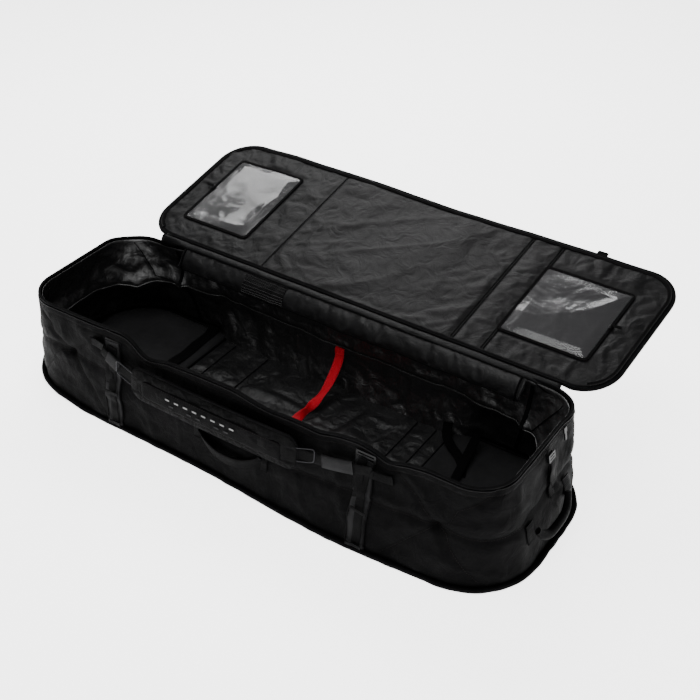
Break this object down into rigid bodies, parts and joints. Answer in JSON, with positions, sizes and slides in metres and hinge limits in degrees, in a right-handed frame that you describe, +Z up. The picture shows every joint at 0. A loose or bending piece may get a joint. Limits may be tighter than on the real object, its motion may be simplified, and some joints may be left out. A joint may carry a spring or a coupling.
{
  "type": "snowboard bag",
  "caption": "Long soft padded board bag lying open: tub with folding sides, zip-round hinged lid with clear windows, padded carry handle and straps.",
  "frame": {"origin": "middle of the base on the floor", "axes": "+X along the length to the end with the adjuster strap, +Y to the back where the lid is hinged, +Z up"},
  "size_m": [1.6092, 0.9401, 0.4237],
  "materials": {
    "shell_fabric": "matt coated polyester",
    "lining_fabric": "coated satin lining",
    "lid_lining_fabric": "coated satin lining",
    "mat_fabric": "matt brushed",
    "webbing_black": "woven webbing",
    "webbing_red": "woven webbing",
    "binding_tape": "ribbed tape",
    "mesh_net": "open mesh",
    "foam_board": "foam",
    "buckle_plastic": "moulded",
    "ring_metal": "dark satin",
    "clear_film": "clear flexible film"
  },
  "bodies": {
    "tub": {"base_panel": "shell_fabric", "base_board": "foam_board", "floor_lining": "lining_fabric", "base_piping": "binding_tape", "floor_pad_left": "mat_fabric", "floor_pad_right": "mat_fabric", "lower_wall_front": "shell_fabric", "lower_wall_back": "shell_fabric", "lower_wall_left": "shell_fabric", "lower_wall_right": "shell_fabric", "front_strap_left": "webbing_black", "front_strap_right": "webbing_black", "end_strap_right": "webbing_black", "end_anchor_left_front": "webbing_black", "end_anchor_left_back": "webbing_black", "end_anchor_right_front": "webbing_black", "end_anchor_right_back": "webbing_black", "tie_down_strap": "webbing_black", "tie_down_socket": "buckle_plastic", "tie_down_loop": "webbing_black", "red_strap": "webbing_red"},
    "tie_plug": {"tie_down_plug": "buckle_plastic", "tie_down_plug_strap": "webbing_black"},
    "rim": {"upper_wall_front": "shell_fabric", "upper_wall_back": "shell_fabric", "upper_wall_left": "shell_fabric", "upper_wall_right": "shell_fabric", "rim_binding": "binding_tape", "rim_zip_tape": "binding_tape", "hinge_strip": "lining_fabric", "mesh_patch": "mesh_net", "carry_anchor_left": "webbing_black", "carry_anchor_right": "webbing_black"},
    "lid": {"lid_outer_panel": "shell_fabric", "lid_foam": "foam_board", "lid_lining": "lid_lining_fabric", "lid_binding": "binding_tape", "lid_zip_tape": "binding_tape", "lid_pull_tab": "webbing_black", "window_film_left": "clear_film", "window_film_right": "clear_film", "window_frame_left": "binding_tape", "window_frame_right": "binding_tape"},
    "window_slider_left": {"window_pull_left": "buckle_plastic"},
    "window_slider_right": {"window_pull_right": "buckle_plastic"},
    "carry_handle": {"carry_pad": "shell_fabric", "carry_pad_cover": "shell_fabric", "carry_ring_left": "ring_metal", "carry_ring_right": "ring_metal", "carry_strap_left": "webbing_black", "carry_strap_right": "webbing_black"},
    "front_grab": {"grab_handle": "webbing_black"},
    "end_grab_left": {"end_handle_left": "webbing_black"},
    "end_grab_right": {"end_handle_right": "webbing_black"},
    "front_lock_left": {"front_buckle_left": "buckle_plastic"},
    "front_lock_right": {"front_buckle_right": "buckle_plastic"},
    "end_lock": {"end_adjuster": "ring_metal"},
    "main_slider_left": {"zip_slider_left": "ring_metal"},
    "main_slider_right": {"zip_slider_right": "ring_metal"}
  },
  "joints": [
    {"name": "side_fold", "type": "slide", "parent": "tub", "child": "rim", "axis": [0, 0, -1], "range_m": [0, 0.085], "deforming": ["front_strap_left", "front_strap_right", "end_strap_right", "red_strap", "tie_down_loop"]},
    {"name": "lid_hinge", "type": "hinge", "parent": "rim", "child": "lid", "pos_m": [0, 0.225, 0.3], "axis": [1, 0, 0], "range_deg": [0, 164]},
    {"name": "window_zip_left", "type": "slide", "parent": "lid", "child": "window_slider_left", "axis": [0, 0.9613, 0.2756], "range_m": [-0.115, 0.115]},
    {"name": "window_zip_right", "type": "slide", "parent": "lid", "child": "window_slider_right", "axis": [0, 0.9613, 0.2756], "range_m": [-0.105, 0.105]},
    {"name": "carry_handle_swing", "type": "hinge", "parent": "rim", "child": "carry_handle", "pos_m": [0, -0.24256, 0.24296], "axis": [-1, 0, 0], "range_deg": [0, 95]},
    {"name": "front_grab_swing", "type": "hinge", "parent": "tub", "child": "front_grab", "pos_m": [0, -0.24166, 0.12812], "axis": [-1, 0, 0], "range_deg": [0, 90]},
    {"name": "end_grab_left_swing", "type": "hinge", "parent": "tub", "child": "end_grab_left", "pos_m": [-0.78672, 0, 0.11458], "axis": [0, 1, 0], "range_deg": [0, 100]},
    {"name": "end_grab_right_swing", "type": "hinge", "parent": "tub", "child": "end_grab_right", "pos_m": [0.78672, 0, 0.11458], "axis": [0, -1, 0], "range_deg": [0, 100]},
    {"name": "front_lock_left_lift", "type": "hinge", "parent": "rim", "child": "front_lock_left", "pos_m": [-0.4, -0.22682, 0.27249], "axis": [-1, 0, 0], "range_deg": [0, 45]},
    {"name": "front_lock_right_lift", "type": "hinge", "parent": "rim", "child": "front_lock_right", "pos_m": [0.4, -0.22682, 0.27249], "axis": [-1, 0, 0], "range_deg": [0, 45]},
    {"name": "end_lock_lift", "type": "hinge", "parent": "rim", "child": "end_lock", "pos_m": [0.75405, 0.022, 0.26396], "axis": [0, -1, 0], "range_deg": [0, 45]},
    {"name": "main_zip_left", "type": "slide", "parent": "rim", "child": "main_slider_left", "axis": [0, -1, 0], "range_m": [0, 0.21]},
    {"name": "main_zip_right", "type": "slide", "parent": "rim", "child": "main_slider_right", "axis": [0, -1, 0], "range_m": [0, 0.21]},
    {"name": "tie_plug_slide", "type": "slide", "parent": "tub", "child": "tie_plug", "axis": [0, -1, 0], "range_m": [0, 0.03]}
  ]
}
